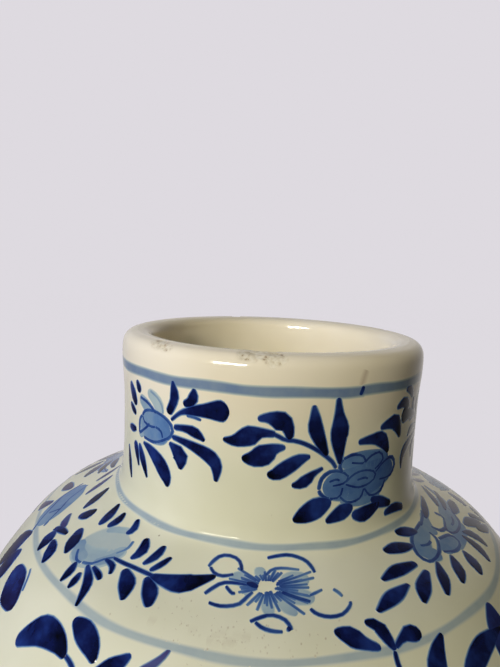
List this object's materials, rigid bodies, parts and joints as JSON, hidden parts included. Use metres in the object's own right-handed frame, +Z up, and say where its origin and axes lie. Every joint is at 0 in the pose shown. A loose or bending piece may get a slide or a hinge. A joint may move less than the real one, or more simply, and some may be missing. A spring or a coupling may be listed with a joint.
{
  "type": "ginger jar",
  "caption": "Porcelain ginger jar with a straight neck, thick rolled lip, ovoid belly and bare foot ring, painted in underglaze blue with flowers and leaves.",
  "frame": {"origin": "centre of the foot ring's underside, on the table", "axes": "+Z up along the jar's axis, -Y towards the viewer"},
  "size_m": [0.185, 0.185, 0.215],
  "materials": {
    "glaze": "gloss clear glaze with a warm grey-green cast",
    "cobalt": "cobalt brushwork under the clear glaze",
    "biscuit": "matt unglazed porcelain, brown from the kiln"
  },
  "bodies": {
    "root": {"neck": "glaze", "upper_body": "glaze", "lower_body": "glaze", "foot_ring": "biscuit"}
  },
  "joints": []
}
